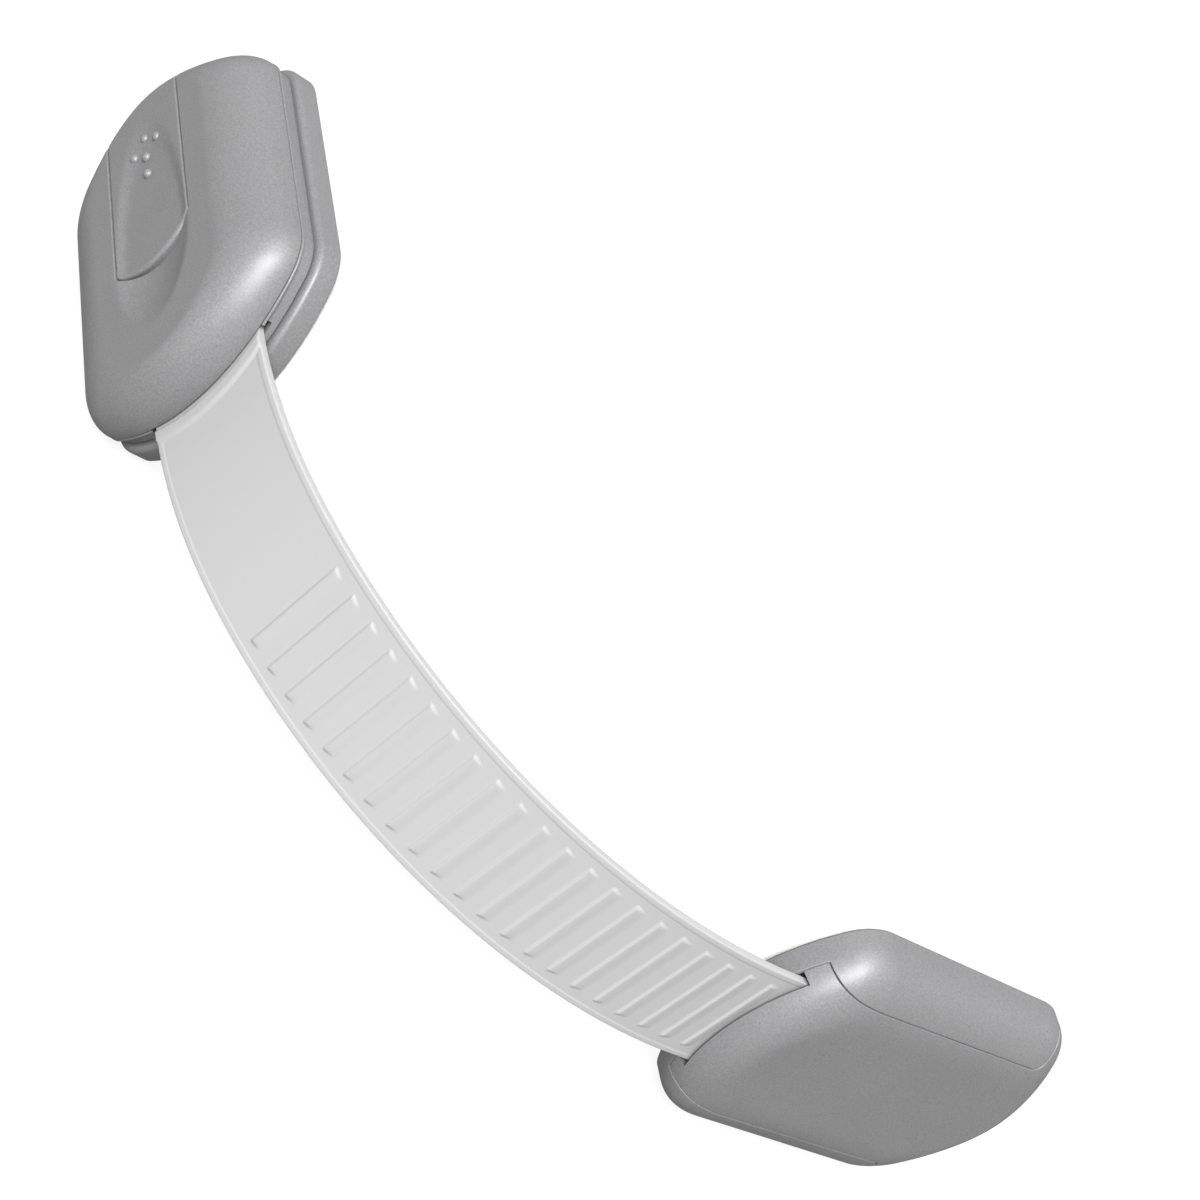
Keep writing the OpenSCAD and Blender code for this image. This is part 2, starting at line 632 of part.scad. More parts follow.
latch_adhesive_pad();
latch_base_plate();
latch_floor();
latch_cover();
latch_screws();
release_button();
button_pin();
button_spring();
catch_spring();
catch_screws();
strap();
anchor_adhesive_pad();
anchor_base();
anchor_cover();
strap_pawl();
pawl_screws();
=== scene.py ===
import bmesh
import bpy
import numpy as np
from mathutils import Matrix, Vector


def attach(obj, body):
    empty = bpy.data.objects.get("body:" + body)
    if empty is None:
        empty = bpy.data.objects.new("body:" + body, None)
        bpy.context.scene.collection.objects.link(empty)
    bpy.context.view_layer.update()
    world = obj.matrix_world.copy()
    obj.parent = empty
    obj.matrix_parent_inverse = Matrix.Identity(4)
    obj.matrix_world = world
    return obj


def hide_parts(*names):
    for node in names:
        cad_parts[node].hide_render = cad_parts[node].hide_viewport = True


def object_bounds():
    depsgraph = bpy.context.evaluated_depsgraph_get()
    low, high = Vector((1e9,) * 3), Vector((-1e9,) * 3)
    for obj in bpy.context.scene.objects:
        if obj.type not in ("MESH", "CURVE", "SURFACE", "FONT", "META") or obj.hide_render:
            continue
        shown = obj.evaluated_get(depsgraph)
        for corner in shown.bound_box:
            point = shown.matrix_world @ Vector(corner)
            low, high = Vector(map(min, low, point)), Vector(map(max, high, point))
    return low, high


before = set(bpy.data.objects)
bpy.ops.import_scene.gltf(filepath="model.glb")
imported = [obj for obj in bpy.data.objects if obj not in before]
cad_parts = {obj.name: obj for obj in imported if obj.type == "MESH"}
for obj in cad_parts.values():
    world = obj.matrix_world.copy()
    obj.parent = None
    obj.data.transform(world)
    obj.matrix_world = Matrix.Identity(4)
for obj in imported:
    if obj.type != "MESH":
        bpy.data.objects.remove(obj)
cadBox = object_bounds()
scene = bpy.context.scene
print("frame loaded with", len(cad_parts), "nodes")

# Camera, standing where the photograph was taken from

cameraPlan = {
    "place": (0.234740, -0.141451, 0.150291),
    "right": (0.17227, 0.69604, 0.69704),
    "up": (-0.75078, -0.36532, 0.55034),
    "back": (0.63769, -0.61813, 0.45964),
    "lens": 72.020,
    "sensor": 36.0,
    "clip": (0.01, 20.0),          # metres
}


# New object in the scene
def addObject(name, data):
    thing = bpy.data.objects.new(name, data)
    scene.collection.objects.link(thing)
    return thing


# Matrix with the right, up and backward directions as columns, and the place last
def axesMatrix(right, up, back, place):
    return Matrix([[column[i] for column in (right, up, back, place)] for i in range(3)] + [[0, 0, 0, 1]])


def addCamera(plan):
    data = bpy.data.cameras.new("photoCamera")
    data.lens = plan["lens"]
    data.sensor_width = plan["sensor"]
    data.clip_start, data.clip_end = plan["clip"]
    scene.camera = addObject("photoCamera", data)
    scene.camera.matrix_world = axesMatrix(plan["right"], plan["up"], plan["back"], plan["place"])


addCamera(cameraPlan)
print("camera placed")

# Materials

grainPlan = {
    "fineDetail": 2.0,
    "broadDetail": 4.0,
    "broadScale": 90.0,
    "broadShare": 0.15,            # weight of the broad noise beside the fine one
    "bump": 0.00003,               # metres that the full depth stands for
}


# A fresh material with its Principled shader, and the values that are the same all over it
def newMaterial(name, **fixed):
    material = bpy.data.materials.new(name)
    material.use_nodes = True
    nodes = material.node_tree.nodes
    shader = nodes["Principled BSDF"]
    for socket, value in fixed.items():
        shader.inputs[socket.replace("_", " ")].default_value = value
    return material, nodes, material.node_tree.links.new, shader


# A named group with its inputs' values, colours or plain numbers, and its outputs' types
def newGroup(name, inputs, outputs):
    group = bpy.data.node_groups.new(name, "ShaderNodeTree")
    for label, value in inputs.items():
        kind = "NodeSocketColor" if isinstance(value, tuple) else "NodeSocketFloat"
        group.interface.new_socket(label, in_out="INPUT", socket_type=kind).default_value = value
    for label, kind in outputs.items():
        group.interface.new_socket(label, in_out="OUTPUT", socket_type=kind)
    return group, group.nodes.new("NodeGroupInput"), group.nodes.new("NodeGroupOutput")


# Result of a Math node whose values are sockets or plain numbers
def mathNode(nodes, link, operation, *values):
    node = nodes.new("ShaderNodeMath")
    node.operation = operation
    for socket, value in zip(node.inputs, values):
        if isinstance(value, bpy.types.NodeSocket):
            link(value, socket)
        else:
            socket.default_value = value
    return node.outputs[0]


# Noise over the piece's own coordinates
def noiseNode(nodes, link, place, detail):
    noise = nodes.new("ShaderNodeTexNoise")
    noise.inputs["Detail"].default_value = detail
    link(place.outputs["Object"], noise.inputs["Vector"])
    return noise


# Moulding grain: the height is a fine noise. The colour and the roughness drift with that noise and with a
# small share of a broad one.
def makeGrain(plan):
    group, start, end = newGroup("mouldedGrain",
        {"Colour": (0.5, 0.5, 0.5, 1), "Drift": 0.05, "Grain size": 3000.0, "Depth": 0.3, "Roughness": 0.4,
         "Roughness drift": 0.08},
        {"Colour": "NodeSocketColor", "Roughness": "NodeSocketFloat", "Normal": "NodeSocketVector"})
    nodes, link = group.nodes, group.links.new
    given = start.outputs
    place = nodes.new("ShaderNodeTexCoord")
    fine = noiseNode(nodes, link, place, plan["fineDetail"])
    link(given["Grain size"], fine.inputs["Scale"])
    broad = noiseNode(nodes, link, place, plan["broadDetail"])
    broad.inputs["Scale"].default_value = plan["broadScale"]
    both = mathNode(nodes, link, "MULTIPLY_ADD", broad.outputs["Fac"], plan["broadShare"], fine.outputs["Fac"])
    centred = mathNode(nodes, link, "SUBTRACT", both, 0.5 + 0.5 * plan["broadShare"])
    tint = nodes.new("ShaderNodeVectorMath")
    tint.operation = "SCALE"
    link(given["Colour"], tint.inputs[0])
    link(mathNode(nodes, link, "MULTIPLY_ADD", centred, given["Drift"], 1.0), tint.inputs["Scale"])
    link(tint.outputs[0], end.inputs["Colour"])
    rough = mathNode(nodes, link, "MULTIPLY_ADD", centred, given["Roughness drift"], given["Roughness"])
    link(rough, end.inputs["Roughness"])
    bump = nodes.new("ShaderNodeBump")
    bump.inputs["Distance"].default_value = plan["bump"]
    link(given["Depth"], bump.inputs["Strength"])
    link(fine.outputs["Fac"], bump.inputs["Height"])
    link(bump.outputs[0], end.inputs["Normal"])
    return group


grainGroup = makeGrain(grainPlan)


# A material whose colour, roughness and normal come from the grain group with its own values
def grainMaterial(name, values, **fixed):
    material, nodes, link, shader = newMaterial(name, **fixed)
    grain = nodes.new("ShaderNodeGroup")
    grain.node_tree = grainGroup
    for label, value in values.items():
        grain.inputs[label].default_value = value
    for label, socket in (("Colour", "Base Color"), ("Roughness", "Roughness"), ("Normal", "Normal")):
        link(grain.outputs[label], shader.inputs[socket])
    return material


housingFinish = {"Colour": (0.257, 0.254, 0.259, 1), "Drift": 0.6, "Grain size": 4400.0, "Depth": 0.3,
    "Roughness": 0.45, "Roughness drift": 0.2}
strapFinish = {"Colour": (0.455, 0.455, 0.455, 1), "Drift": 0.02, "Grain size": 1500.0, "Depth": 0.05,
    "Roughness": 0.6, "Roughness drift": 0.05}
foamFinish = {"Colour": (0.80, 0.80, 0.78, 1), "Drift": 0.15, "Grain size": 2600.0, "Depth": 0.9,
    "Roughness": 0.85, "Roughness drift": 0.05}
steelFinish = {"Colour": (0.62, 0.62, 0.63, 1), "Drift": 0.06, "Grain size": 2500.0, "Depth": 0.15,
    "Roughness": 0.28, "Roughness drift": 0.10}
satinPlastic = grainMaterial("satinPlastic", housingFinish, Metallic=0.3, IOR=1.05,
    Specular_Tint=(0.2, 0.2, 0.2, 1))
strapPlastic = grainMaterial("strapPlastic", strapFinish, Specular_IOR_Level=0.3)
padFoam = grainMaterial("padFoam", foamFinish, Specular_IOR_Level=0.2)
springSteel = grainMaterial("springSteel", steelFinish, Metallic=1.0)
print("materials made")

# Every CAD node gets its finish; its loose triangles are welded and shaded smooth up to a crease

nodeFinish = {
    "latch_adhesive_pad": padFoam, "latch_base_plate": satinPlastic, "latch_floor": satinPlastic,
    "latch_cover": satinPlastic, "latch_screws": springSteel, "release_button": satinPlastic,
    "button_pin": springSteel, "button_spring": springSteel, "catch_spring": springSteel,
    "catch_screws": springSteel, "strap": strapPlastic, "anchor_adhesive_pad": padFoam,
    "anchor_base": satinPlastic, "anchor_cover": satinPlastic, "strap_pawl": springSteel,
    "pawl_screws": springSteel,
}


# Smooth flags on all faces, equal points merged, and edges split where faces turn more than the crease
def smoothNode(piece, material, crease=0.55, weldDistance=0.000001):
    mesh = piece.data
    mesh.materials.clear()
    mesh.materials.append(material)
    mesh.polygons.foreach_set("use_smooth", np.ones(len(mesh.polygons), bool))
    weld = piece.modifiers.new("weld", "WELD")
    weld.merge_threshold = weldDistance
    split = piece.modifiers.new("crease", "EDGE_SPLIT")
    split.split_angle = crease


for name, material in nodeFinish.items():
    smoothNode(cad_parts[name], material)
print("finishes on the CAD nodes")

# Shapes, in millimetres while they are worked out

millimetre = 0.001
headPlan = {"arch": 28.0, "corner": 6.8, "leastCorner": 0.6}   # radii of the arched ends and the corners


# A head is drawn lying down, x along it, y across it and z up from its sticking face. These two stand it up
# in its place in the frame, in metres.
def latchPlace(points):
    return np.stack([points[..., 0], -points[..., 2], points[..., 1]], -1) * millimetre


def anchorPlace(points):
    face, middle = anchorPlan["place"]
    return np.stack([points[..., 2] + face, points[..., 0] + middle, points[..., 1]], -1) * millimetre


# Half length, half width, arch radius, corner radius, the corner's distance from the arch's centre, and the
# direction in which both circles touch
def outlineSizes(body, inset):
    half, side = body["length"] / 2 - inset, body["width"] / 2 - inset
    arch, corner = headPlan["arch"] - inset, max(headPlan["corner"] - inset, headPlan["leastCorner"])
    reach = np.sqrt((arch - corner) ** 2 - (side - corner) ** 2)
    return half, side, arch, corner, reach, np.arctan2(side - corner, reach)


# A quarter of a head's outline by the direction it faces: the arch's circle until both circles touch, then
# the corner's circle
def outlinePoint(body, facing, inset=0.0):
    half, side, arch, corner, reach, touch = outlineSizes(body, inset)
    onArch = facing <= touch
    x = np.where(onArch, half - arch + arch * np.cos(facing), half - arch + reach + corner * np.cos(facing))
    y = np.where(onArch, arch * np.sin(facing), side - corner + corner * np.sin(facing))
    return x, y


# Direction that the outline faces where it is y from the middle: arcsine on either circle
def facingAcross(body, y, inset=0.0):
    _, side, arch, corner, _, touch = outlineSizes(body, inset)
    return np.where(y <= arch * np.sin(touch), np.arcsin(np.clip(y / arch, 0, 1)),
        np.arcsin(np.clip((y - side + corner) / corner, 0, 1)))


# Direction that the outline faces where it is x along from the middle: arccosine on either circle
def facingAlong(body, x, inset=0.0):
    half, _, arch, corner, reach, touch = outlineSizes(body, inset)
    return np.where(x >= half - arch + arch * np.cos(touch), np.arccos(np.clip((x - half + arch) / arch, -1, 1)),
        np.arccos(np.clip((x - half + arch - reach) / corner, -1, 1)))


# Whole outline: a quarter by the direction it faces, taken round all four quadrants, with the straight
# sides between the corners
def wholeOutline(body, inset=0.0, straight=30):
    half, side, arch, _, reach, touch = outlineSizes(body, inset)
    facing = np.concatenate([np.linspace(0, touch, 22), np.linspace(touch, np.pi / 2, 20)[1:]])
    x, y = outlinePoint(body, facing, inset)
    run = np.linspace(1, 0, straight)[1:] * (half - arch + reach)
    x, y = np.concatenate([x, run]), np.concatenate([y, np.full(len(run), side)])
    x, y = np.concatenate([x, -x[-2::-1]]), np.concatenate([y, y[-2::-1]])
    return np.concatenate([x, x[-2::-1]]), np.concatenate([y, -y[-2::-1]])


# An outline point drawn in to a level of the dome: both directions shrink in step with the level, 0 at
# the wall and 1 at the flat top
def drawnIn(body, x, y, level):
    low, high = body["roundings"]
    return (x * (1 - (low + high) * level / body["length"]) + (low - high) / 2 * level,
        y * (1 - 2 * body["sideRounding"] * level / body["width"]))


# The reverse: the outline point that is drawn in to x, y at a level
def drawnOut(body, x, y, level):
    low, high = body["roundings"]
    return ((x - (low - high) / 2 * level) / (1 - (low + high) * level / body["length"]),
        y / (1 - 2 * body["sideRounding"] * level / body["width"]))


# Where a level of the dome crosses columns of constant y, at the near end (-1) or the far end (1) of the head
def domeEnd(body, y, level, end, inset):
    _, across = drawnOut(body, 0, np.abs(y), level)
    px, py = outlinePoint(body, facingAcross(body, across, inset), inset)
    return drawnIn(body, end * px, py, level)[0]


# Height at a level: a superellipse from the wall's top to the dome's top, which may slope along the head
def levelHeight(body, x, level, drop=0.0):
    near, far = body["tops"]
    top = near + (far - near) * (x / body["length"] + 0.5) - drop
    power = body["fullness"]
    return body["wallTop"] + (top - body["wallTop"]) * (1 - (1 - np.clip(level, 0, 1)) ** power) ** (1 / power)


# Level at a height above the wall, under a top: the same superellipse turned round
def levelAt(body, height, top):
    rise = height / (top - body["wallTop"])
    return 1 - (1 - rise ** body["fullness"]) ** (1 / body["fullness"])


# Levels from the wall to the flat top: 1 minus the cosine of equal steps, to the power 2 over the fullness
def domeLevels(body, count):
    return 1 - np.cos(np.linspace(0, np.pi / 2, count)) ** (2 / body["fullness"])


# Level of the dome over a point: the level whose drawn-in outline runs through it, found by halving
def levelOver(body, x, y, inset=0.0, halvings=36, almostTop=0.999999):
    half, side, arch, corner, reach, touch = outlineSizes(body, inset)
    below, above = np.zeros(np.broadcast(x, y).shape), np.ones(np.broadcast(x, y).shape)
    for _ in range(halvings):
        level = (below + above) / 2
        px, py = drawnOut(body, x, y, level)
        px, py = np.abs(px), np.abs(py)
        fromArch, fromCorner = px - half + arch, px - half + arch - reach
        outside = np.where(fromCorner <= 0, py - side, np.where(np.arctan2(py, fromArch) <= touch,
            np.hypot(fromArch, py) - arch, np.hypot(fromCorner, py - side + corner) - corner))
        below, above = np.where(outside > 0, below, level), np.where(outside > 0, level, above)
    return np.where(above > almostTop, 1.0, (below + above) / 2)


# Values from 0 to 1 that lie close together near 0, as 1 minus the cosine of equal steps
def closeSteps(count):
    return 1 - np.cos(np.linspace(0, np.pi / 2, count))


# Distances from an edge: close together over its rounding, then even as far as the reach
def stepsAway(rounding, reach, closeCount, evenCount):
    rounded = np.minimum(rounding, reach)
    return np.concatenate([np.minimum(closeSteps(closeCount)[:, None] * rounding, reach),
        rounded + (reach - rounded) * np.linspace(0, 1, evenCount)[1:, None]])


# Depth of a rounded edge under its surface at a distance from the edge: a quarter circle
def edgeDepth(distance, radius):
    short = radius - np.clip(distance, 0, radius)
    return radius - np.sqrt(np.maximum(radius ** 2 - short ** 2, 0))


# The two triangles of each cell of a grid, as rows of point numbers
def gridTriangles(rows, columns):
    n = np.arange(rows * columns).reshape(rows, columns)
    a, b, c, d = n[:-1, :-1], n[:-1, 1:], n[1:, 1:], n[1:, :-1]
    return np.concatenate([np.stack([a, b, c], -1).reshape(-1, 3), np.stack([a, c, d], -1).reshape(-1, 3)])


# Grid of points from rows of (x, y, height)
def rowsGrid(rows):
    return np.stack([np.stack([x, y, height + 0 * x], -1) for x, y, height in rows])


# A grid of points with its triangles
def gridPart(points):
    return points, gridTriangles(*points.shape[:2])


# Several parts as one: their points in a row, and their triangles numbered on
def joined(parts):
    points, triangles, start = [], [], 0
    for p, t in parts:
        points.append(p.reshape(-1, 3))
        triangles.append(t + start)
        start += len(points[-1])
    return np.concatenate(points), np.concatenate(triangles)


# Mesh object from points in metres and triangles, doubles merged, faces outwards, smooth up to the crease
def meshPiece(name, points, triangles, crease=0.6, same=0.0000002):
    mesh = bpy.data.meshes.new(name)
    mesh.from_pydata(points.tolist(), [], triangles.tolist())
    work = bmesh.new()
    work.from_mesh(mesh)
    bmesh.ops.remove_doubles(work, verts=work.verts, dist=same)
    bmesh.ops.dissolve_degenerate(work, dist=same, edges=work.edges)
    bmesh.ops.recalc_face_normals(work, faces=work.faces)
    work.to_mesh(mesh)
    work.free()
    mesh.polygons.foreach_set("use_smooth", np.ones(len(mesh.polygons), bool))
    mesh.set_sharp_from_angle(angle=crease)
    return addObject(name, mesh)


# Closed wall between an outer and an inner sheet with the same grid: equal points are made one, the outer
# sheet sinks along its normals by the edge depth, and triangles along the free edges join the two. An edge
# is free where no triangle runs it the other way.
def closedWall(outer, inner, triangles, depth, least=1e-9):
    outer, inner, depth = outer.reshape(-1, 3), inner.reshape(-1, 3), depth.reshape(-1)
    _, first, number = np.unique(np.round(outer, 4), axis=0, return_index=True, return_inverse=True)
    outer, inner, depth, t = outer[first], inner[first], depth[first], number.reshape(-1)[triangles]
    t = t[(t[:, 0] != t[:, 1]) & (t[:, 1] != t[:, 2]) & (t[:, 2] != t[:, 0])]
    face = np.cross(outer[t[:, 1]] - outer[t[:, 0]], outer[t[:, 2]] - outer[t[:, 0]])
    normal = np.zeros_like(outer)
    for k in range(3):
        np.add.at(normal, t[:, k], face)
    size = np.linalg.norm(normal, axis=1, keepdims=True)
    normal = np.where(size > least, normal / np.maximum(size, least), (0.0, 0.0, 1.0))
    normal *= -1.0 if face[:, 2].sum() < 0 else 1.0
    outer = outer - normal * depth[:, None]
    edges = np.concatenate([t[:, [0, 1]], t[:, [1, 2]], t[:, [2, 0]]])
    count = len(outer)
    code, back = edges[:, 0] * count + edges[:, 1], edges[:, 1] * count + edges[:, 0]
    free = edges[~np.isin(code, back)]
    sides = np.concatenate([np.stack([free[:, 1], free[:, 0], free[:, 0] + count], -1),
        np.stack([free[:, 1], free[:, 0] + count, free[:, 1] + count], -1)])
    return np.concatenate([outer, inner]), np.concatenate([t, t[:, ::-1] + count, sides])


# Latch head: cover with the opening for the button, and the button cut out of the same dome

latchPlan = {
    "length": 51.8,
    "width": 38.8,
    "roundings": (1.8, 3.8),       # at the far end and at the strap's end
    "sideRounding": 8.4,
    "fullness": 1.9,
    "wallTop": 6.95,
    "tops": (13.2, 13.2),
    "bottom": 6.62,
    "wall": 1.6,
    "rimEdge": 0.15,
    "slitEdge": 0.16,
    "slit": 0.3,
    "levels": 40,                  # rows over the dome
}
buttonPlan = {
    "halfWidth": 7.05,
    "end": 6.1,                    # top of the arch at its inner end
    "archRadius": 11.368,
    "bottom": 6.9,
    "sideEdge": 0.2,
    "archEdge": 0.5,
    "scoopDepth": 1.3,
    "scoopRadius": 19.5,
    "scoopMiddle": 4.45,
    "scoopReach": (24.0, 12.3),    # towards the pivot and towards the strap
    "scoopSoft": 0.07,
    "scoopFloor": 0.45,            # the button's own part of the scoop has a flat floor at this depth
    "dots": ((15.8, 0.0), (12.5, 0.0), (10.6, -2.3), (10.6, 2.3), (8.8, 0.0)),   # from the far end, and across
    "dotRadius": 0.74,
    "dotSunk": 0.1,
    "pivot": (7.0, 3.3),           # the pin, from the far end and under the top
    "ear": (1.1, 2.0, 0.1),        # bore, outer radius and bevel of the two ears on the pin
    "earSides": (4.15, 5.65),
}


# Height of the thumb scoop: a circle across, whose lowest point rises with the square of the distance
# along from its middle
def scoopHeight(x, y):
    away = x - buttonPlan["scoopMiddle"]
    reach = np.where(away > 0, buttonPlan["scoopReach"][1], buttonPlan["scoopReach"][0])
    radius = buttonPlan["scoopRadius"] - buttonPlan["scoopDepth"] * np.minimum((away / reach) ** 2, 4.0)
    centre = latchPlan["tops"][0] + buttonPlan["scoopRadius"] - buttonPlan["scoopDepth"]
    return centre - np.sqrt(np.maximum(radius ** 2 - y ** 2, 1.0))


# The lower of the dome and the scoop, with a soft border: the two heights' smooth minimum. A floor makes
# the scoop the higher of the two in the same way.
def withScoop(x, y, z, floor=0.0):
    soft = buttonPlan["scoopSoft"]
    scoop = scoopHeight(x, y)
    scoop = np.maximum(scoop, floor) + soft * np.log1p(np.exp(-np.abs(scoop - floor) / soft))
    return np.minimum(z, scoop) - soft * np.log1p(np.exp(-np.abs(z - scoop) / soft))


# Distance outside the button's shape grown by the slit: from its straight sides, its arch or the two corners
def slitDistance(x, y, grow):
    radius, half = buttonPlan["archRadius"] + grow, buttonPlan["halfWidth"] + grow
    centre = buttonPlan["end"] - buttonPlan["archRadius"]
    corner = centre + np.sqrt(radius ** 2 - half ** 2)
    side = np.abs(y)
    arch = np.hypot(x - centre, y) - radius
    inSector = side * (corner - centre) <= half * (x - centre)
    return np.where(inSector, arch, np.where(x <= corner, side - half, np.hypot(x - corner, side - half)))


# Cover: rows climb from the rim through the dome's levels to the flat top and on to the slit, columns run
# from the slit at the far end round the strap's end and back. Half of it is worked out, then mirrored.
def latchCoverSheet(inset, drop):
    body, half = latchPlan, buttonPlan["halfWidth"] + latchPlan["slit"]
    length, _, arch, _, reach, touch = outlineSizes(body, inset)
    levels = domeLevels(body, body["levels"])
    # directions: the far arch from the slit on, its corner, the side, the strap's corner and its arch
    start = np.arcsin(drawnOut(body, 0, half, levels)[1] / arch)[:, None]
    near = np.concatenate([np.linspace(0, 0.08, 8), np.linspace(0.08, 1, 14)[1:]])
    turn = np.linspace(touch, np.pi / 2, 22)[1:]
    along = np.linspace(-1, 1, 76)[1:-1]
    rest = np.concatenate([turn, along * 0 + np.pi / 2, turn[::-1], [touch], np.linspace(touch, 0, 44)[1:]])
    facing = np.concatenate([start + (touch - start) * near, np.broadcast_to(rest, (len(levels), len(rest)))], 1)
    px, py = outlinePoint(body, facing, inset)
    sideStart = len(near) + len(turn)
    sideEnd = sideStart + len(along)
    px[:, :sideStart] *= -1
    px[:, sideStart:sideEnd] = along * (length - arch + reach)
    level = levels[:, None] + 0 * px
    x, y = drawnIn(body, px, py, level)
    z = levelHeight(body, x, level, drop)
    # the flat rows, from the top level's outline to the slit's edge
    topX, topY = x[-1], y[-1]
    radius, centre = buttonPlan["archRadius"] + latchPlan["slit"], buttonPlan["end"] - buttonPlan["archRadius"]
    cornerX = centre + np.sqrt(radius ** 2 - half ** 2)
    share = (topX - topX[0]) / (topX[sideEnd - 1] - topX[0])
    swing = np.cumsum(np.hypot(np.diff(topX[sideEnd - 1:]), np.diff(topY[sideEnd - 1:])))
    angle = np.arcsin(half / radius) * (1 - swing / swing[-1])
    slitX = np.concatenate([topX[0] + (cornerX - topX[0]) * share[:sideEnd], centre + radius * np.cos(angle)])
    slitY = np.concatenate([np.full(sideEnd, half), radius * np.sin(angle)])
    gap = np.hypot(topX - slitX, topY - slitY)
    part = stepsAway(latchPlan["slitEdge"], gap, 7, 46) / np.maximum(gap, 1e-9)
    flatX, flatY = slitX + (topX - slitX) * part, slitY + (topY - slitY) * part
    flatX, flatY = flatX[::-1][1:], flatY[::-1][1:]
    # the straight wall below the dome
    low = np.concatenate([latchPlan["bottom"] + closeSteps(7) * latchPlan["rimEdge"], [body["wallTop"] - 0.1]])
    x = np.concatenate([x[:1].repeat(len(low), 0), x, flatX])
    y = np.concatenate([y[:1].repeat(len(low), 0), y, flatY])
    z = np.concatenate([low[:, None] + 0 * z[:1], z, np.full(flatX.shape, body["tops"][0] - drop)])
    if inset == 0:
        z = withScoop(x, y, z)
    x, y, z = (np.concatenate([v, w * v[:, -2::-1]], 1) for v, w in ((x, 1), (-y, -1), (z, 1)))
    return np.stack([x, y, z], -1)


# Cover's wall between two sheets, its edges rounded along the slit and along the rim
def makeLatchCover():
    outer, inner = latchCoverSheet(0, 0), latchCoverSheet(latchPlan["wall"], latchPlan["wall"])
    x, y, z = outer[..., 0], outer[..., 1], outer[..., 2]
    depth = np.maximum(edgeDepth(slitDistance(x, y, latchPlan["slit"]), latchPlan["slitEdge"]),
        edgeDepth(z - latchPlan["bottom"], latchPlan["rimEdge"]))
    points, triangles = closedWall(outer, inner, gridTriangles(*x.shape), depth)
    return meshPiece("latchCoverShell", latchPlace(points), triangles)


# Button: columns of constant y run from the far wall's foot over the dome to the arch
def buttonSheet(inset, drop):
    body, plan = latchPlan, buttonPlan
    half, edge = plan["halfWidth"], plan["sideEdge"]
    column = np.concatenate([half - closeSteps(7) * edge, np.linspace(half - edge, 0, 34)[1:]])
    column = np.concatenate([-column, column[-2::-1]])[None, :]
    level = domeLevels(body, body["levels"])[:, None]
    x = domeEnd(body, column, level, -1, inset)
    z = levelHeight(body, x, level, drop)
    endX = plan["end"] - plan["archRadius"] + np.sqrt(plan["archRadius"] ** 2 - column ** 2)
    flatX = (endX - stepsAway(plan["archEdge"], endX - x[-1:], 9, 130))[::-1][1:]
    x = np.concatenate([x[:1], x, flatX])
    y = np.broadcast_to(column, x.shape)
    z = np.concatenate([np.full(z[:1].shape, plan["bottom"]), z, np.full(flatX.shape, body["tops"][0] - drop)])
    if inset == 0:
        z = withScoop(x, y, z, body["tops"][0] - plan["scoopFloor"])
    return np.stack([x, y, z], -1)


# Ball grid: a half circle turned round, its poles closed by merging
def ballPoints(centre, radius, rows=13, columns=25):
    up, about = np.meshgrid(np.linspace(-np.pi / 2, np.pi / 2, rows), np.linspace(0, 2 * np.pi, columns),
        indexing="ij")
    return centre + radius * np.stack([np.cos(up) * np.cos(about), np.cos(up) * np.sin(about), np.sin(up)], -1)


# Solid turned round an axis along y: a closed profile of (radius, y) rows
def turnedPoints(middle, profile, columns=49):
    turn = np.linspace(0, 2 * np.pi, columns)
    radius, along = np.array(profile)[:, 0][:, None], np.array(profile)[:, 1][:, None]
    return np.stack([middle[0] + radius * np.cos(turn), along + 0 * turn, middle[1] + radius * np.sin(turn)], -1)


# Button's wall between two sheets with rounded sides and arch, the balls of its dots and the ears on its pin
def makeButton():
    plan, farEnd, top = buttonPlan, -latchPlan["length"] / 2, latchPlan["tops"][0]
    outer, inner = buttonSheet(0, 0), buttonSheet(latchPlan["wall"], latchPlan["wall"])
    x, y = outer[..., 0], outer[..., 1]
    centre = plan["end"] - plan["archRadius"]
    archAway = np.where(x > centre, plan["archRadius"] - np.hypot(x - centre, y), np.inf)
    depth = np.maximum(edgeDepth(plan["halfWidth"] - np.abs(y), plan["sideEdge"]),
        edgeDepth(archAway, plan["archEdge"]))
    parts = [closedWall(outer, inner, gridTriangles(*x.shape), depth)]
    for along, across in plan["dots"]:
        middle = np.array([farEnd + along, across, top - plan["scoopFloor"] - plan["dotSunk"]])
        parts.append(gridPart(ballPoints(middle, plan["dotRadius"])))
    bore, radius, bevel = plan["ear"]
    for side in (-1, 1):
        a, b = (side * across for across in plan["earSides"])
        profile = [(bore, a), (radius - bevel, a), (radius, a + side * bevel), (radius, b - side * bevel),
            (radius - bevel, b), (bore, b), (bore, a)]
        parts.append(gridPart(turnedPoints((farEnd + plan["pivot"][0], top - plan["pivot"][1]), profile)))
    points, triangles = joined(parts)
    return meshPiece("releaseButtonShell", latchPlace(points), triangles)


# Seam bead: a round-edged ring on the floor's upper border, just under the cover

beadPlan = {
    "proud": 0.04,
    "width": 1.2,
    "low": 6.2,
    "high": 6.55,
    "round": 0.2,
    "foot": (0.02, 0.06),          # bevel below, inwards and up
    "opening": 10.6,               # half of what it leaves free for the strap
}


